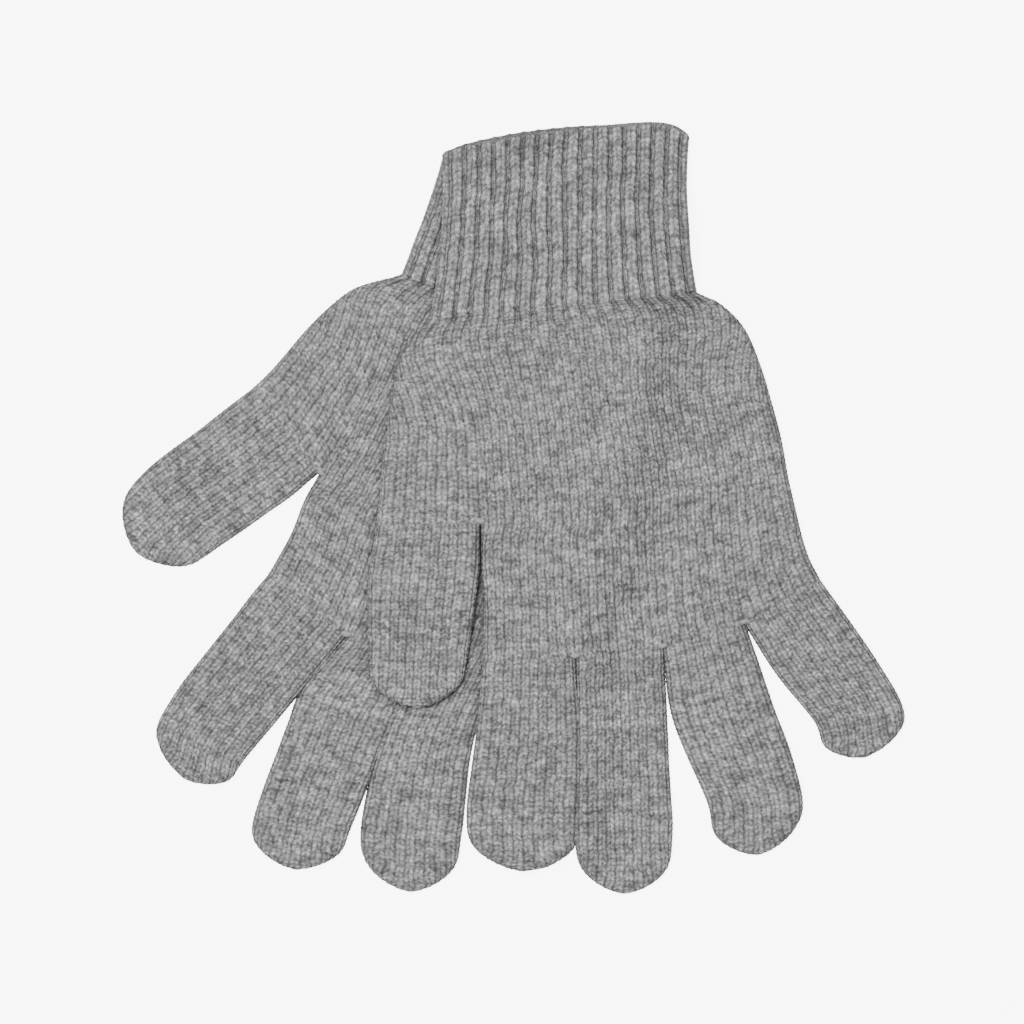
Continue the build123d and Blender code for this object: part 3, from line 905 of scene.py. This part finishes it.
# %% Stitch relief group
relief_tree, n, given, result = new_group("Stitch relief", ("Wale", "Course"), ("Height",))
side = n.math("ABSOLUTE", n.math("SUBTRACT", n.math("FRACT", given["Wale"]), 0.5))
leg = n.math("MULTIPLY", n.math("POWER", n.math("SINE", n.math("MULTIPLY", side, 2 * math.pi)), 1.1), 0.7)
leg = n.math("MULTIPLY_ADD", n.math("COSINE", n.math("MULTIPLY", side, math.pi)), 0.35, leg)
slope = n.math("SUBTRACT", given["Course"], n.math("MULTIPLY", side, LEAN))
strand = n.math("MULTIPLY_ADD", n.math("COSINE", n.math("MULTIPLY", slope, 2 * math.pi)), 0.5, 0.5)
n.put(result["Height"], n.math("MULTIPLY", leg, n.math("MULTIPLY_ADD", strand, 0.6, 0.4)))
print("stitch relief nodes", len(relief_tree.nodes))

# %% [markdown]
# ## Marl
# The second group gives the grey as a power of two, 0 for the middle grey: every leg of a stitch has its own
# shade, and four layers of noise run on over the stitches, from slow clouds to flecks finer than a stitch.

# %% Marl group
marl_tree, n, given, result = new_group("Marl", ("Wale", "Course", "Along", "Down"), ("Grey",))
side = n.math("ABSOLUTE", n.math("SUBTRACT", n.math("FRACT", given["Wale"]), 0.5))
slope = n.math("FLOOR", n.math("SUBTRACT", given["Course"], n.math("MULTIPLY", side, LEAN)))
leg_cell = n.add("ShaderNodeTexWhiteNoise", noise_dimensions="2D")
n.put(leg_cell.inputs["Vector"], n.vector(n.math("FLOOR", n.math("MULTIPLY", given["Wale"], 2.0)), slope))


def streaks(along, down, layer, detail):
    """Noise about zero over the running coordinates, stretched by how many repeats there are to a stitch."""
    x, y = n.math("MULTIPLY", given["Along"], along), n.math("MULTIPLY", given["Down"], down)
    place = n.vector(x, y, layer)
    return n.math("SUBTRACT", n.noise(place, 1.0, detail), 0.5)


total = n.math("MULTIPLY", n.math("SUBTRACT", leg_cell.outputs["Value"], 0.5), 1.15)
for along, down, layer, detail, strength in (
    (0.42, 0.58, 0.0, 2.0, 2.3),
    (0.11, 0.13, 4.0, 2.0, 1.1),
    (1.30, 0.90, 9.0, 2.0, 2.5),
    (3.6, 2.4, 17.0, 2.0, 4.2),
):
    total = n.math("ADD", total, n.math("MULTIPLY", streaks(along, down, layer, detail), strength))
n.put(result["Grey"], total)
print("marl nodes", len(marl_tree.nodes))

# %% [markdown]
# ## The knit and the small pieces
# Wool is matt. Shade is painted into the knit's colour: darker low down between the stitches, in the grooves
# of the rib, and where two pieces lie close together or near the floor. The fork stitches, tips and elastic
# are too small to show stitches, so they are one even colour each.


# %% Knit material
def knit_material(name, base, relief_depth):
    """Grey marl knit. base is its reflectance; relief_depth is the height of a stitch in metres."""
    material = bpy.data.materials.new(name)
    material.use_nodes = True
    tree = material.node_tree
    n = Nodes(tree)
    shader = tree.nodes["Principled BSDF"]
    counted, running = (n.add("ShaderNodeSeparateXYZ") for _ in range(2))
    running_map = n.add("ShaderNodeUVMap", uv_map="marl").outputs[0]
    n.put(counted.inputs[0], n.add("ShaderNodeUVMap", uv_map="stitch").outputs[0])
    n.put(running.inputs[0], running_map)
    rib = n.add("ShaderNodeAttribute", attribute_name="rib").outputs["Fac"]
    # Hand-tensioned stitches wander: a slow noise shifts the columns a little and the rounds a little more.
    drift = n.math("SUBTRACT", n.noise(running_map, 0.45, 2.0), 0.5)
    wale = n.math("MULTIPLY_ADD", drift, 0.6, counted.outputs[0])
    course = n.math("MULTIPLY_ADD", drift, -1.6, counted.outputs[1])
    relief = n.add("ShaderNodeGroup", node_tree=relief_tree)
    marl = n.add("ShaderNodeGroup", node_tree=marl_tree)
    for group in (relief, marl):
        n.put(group.inputs["Wale"], wale)
        n.put(group.inputs["Course"], course)
    n.put(marl.inputs["Along"], running.outputs[0])
    n.put(marl.inputs["Down"], running.outputs[1])
    height = relief.outputs["Height"]
    grey = n.math("POWER", 2.0, n.math("MULTIPLY", marl.outputs["Grey"], 0.80))
    # Painted shade: the colour darkens where the stitch height is low, between the legs and between the
    # rounds.
    painted_gap_shade = n.math("MULTIPLY_ADD", height, 0.98, 0.47)
    # Painted shade: the colour is a little darker where the rib attribute says a point lies in a groove.
    groove = n.math("SUBTRACT", 1.0, n.math("MULTIPLY", rib, 0.06))
    value = n.math("MULTIPLY", n.math("MULTIPLY", grey, painted_gap_shade), n.math("MULTIPLY", groove, base))
    # Painted shade: an ambient occlusion node darkens the colour where pieces lie close together or near the
    # floor.
    painted_contact_shade = n.add("ShaderNodeAmbientOcclusion", samples=8)
    n.put(painted_contact_shade.inputs["Distance"], 0.0045)
    painted_shade_factor = n.math("MULTIPLY_ADD", painted_contact_shade.outputs["AO"], 0.95, 0.08)
    value = n.math("MAXIMUM", n.math("MULTIPLY", value, painted_shade_factor), 0.02)
    colour = n.add("ShaderNodeCombineColor")
    for socket in colour.inputs:
        n.put(socket, value)
    n.put(shader.inputs["Base Color"], colour.outputs[0])
    n.put(shader.inputs["Roughness"], 0.95)
    n.put(shader.inputs["Specular IOR Level"], 0.15)
    position = n.add("ShaderNodeTexCoord").outputs["Object"]
    fuzz = n.noise(position, 4200.0, 3.0)
    bump = n.add("ShaderNodeBump")
    n.put(bump.inputs["Strength"], 1.0)
    n.put(bump.inputs["Distance"], relief_depth)
    n.put(bump.inputs["Height"], n.math("ADD", height, n.math("MULTIPLY", fuzz, 0.5)))
    n.put(shader.inputs["Normal"], bump.outputs[0])
    return material


def plain_material(name, colour, roughness):
    """One even matt colour, for the small pieces and the floor."""
    material = bpy.data.materials.new(name)
    material.use_nodes = True
    shader = material.node_tree.nodes["Principled BSDF"]
    shader.inputs["Base Color"].default_value = (*colour, 1)
    shader.inputs["Roughness"].default_value = roughness
    shader.inputs["Specular IOR Level"].default_value = 0.1
    return material


knit = knit_material("light grey marl knit", 0.232, 0.00025)
rib_knit = knit_material("light grey marl rib", 0.255, 0.0003)
yarn = plain_material("pale grey yarn", (0.34, 0.34, 0.34), 0.9)
thread = plain_material("elastic thread", (0.55, 0.55, 0.55), 0.7)
finishes = {
    "cuff": (rib_knit, "rib"),
    "cuff_elastic": (thread, "elastic"),
    "cuff_rim": (knit, "stitch"),
    "fork_stitches": (yarn, "stitch"),
}
for pieces in (lower, upper):
    for part, obj in pieces.items():
        material, slot = (yarn, "stitch") if part.endswith("_tip") else finishes.get(part, (knit, "knit"))
        obj.data.materials.append(material)
print("materials", [material.name for material in (knit, rib_knit, yarn, thread)])

# %% [markdown]
# ## Floor, light and camera
# A pale floor that glows, so that shadows on it are faint, one broad soft lamp almost overhead and an even
# sky. The camera looks straight down with the cuffs at the top of the picture.

# %% Floor, light, camera
floor_mesh = bpy.data.meshes.new("floor")
floor_mesh.from_pydata([(-3, -3, 0), (3, -3, 0), (3, 3, 0), (-3, 3, 0)], [], [(0, 1, 2, 3)])
floor = bpy.data.objects.new("floor", floor_mesh)
floor.location.z = -0.0004
bpy.context.scene.collection.objects.link(floor)
floor_paint = plain_material("pale floor", (0.93, 0.945, 0.94), 1.0)
floor_shader = floor_paint.node_tree.nodes["Principled BSDF"]
floor_shader.inputs["Emission Color"].default_value = (0.955, 0.98, 0.97, 1)
floor_shader.inputs["Emission Strength"].default_value = 7.2
floor_mesh.materials.append(floor_paint)
floor.visible_diffuse = False

lamp_data = bpy.data.lights.new("soft overhead", "AREA")
lamp_data.shape = "DISK"
lamp_data.size = 0.6
lamp_data.energy = 36.0
lamp = bpy.data.objects.new("soft overhead", lamp_data)
lamp.location = (-0.22, 0.08, 1.5)
bpy.context.scene.collection.objects.link(lamp)
aim = bpy.data.objects.new("aim", None)
bpy.context.scene.collection.objects.link(aim)
track = lamp.constraints.new("TRACK_TO")
track.target = aim
track.track_axis, track.up_axis = "TRACK_NEGATIVE_Z", "UP_Y"

world = bpy.data.worlds.new("sky")
world.use_nodes = True
world.node_tree.nodes["Background"].inputs[0].default_value = (1, 1, 1, 1)
world.node_tree.nodes["Background"].inputs[1].default_value = 0.15
bpy.context.scene.world = world

LENS, SENSOR, VIEW_WIDTH = 200, 36, 0.3212  # mm, mm, and metres across the picture at the gloves
camera_data = bpy.data.cameras.new("camera")
camera_data.lens = LENS
camera = bpy.data.objects.new("camera", camera_data)
camera.location = (0.0002, 0.0001, VIEW_WIDTH * LENS / SENSOR + 0.008)
bpy.context.scene.collection.objects.link(camera)
bpy.context.scene.camera = camera
print("camera stands", round(camera.location.z, 3), "m up")
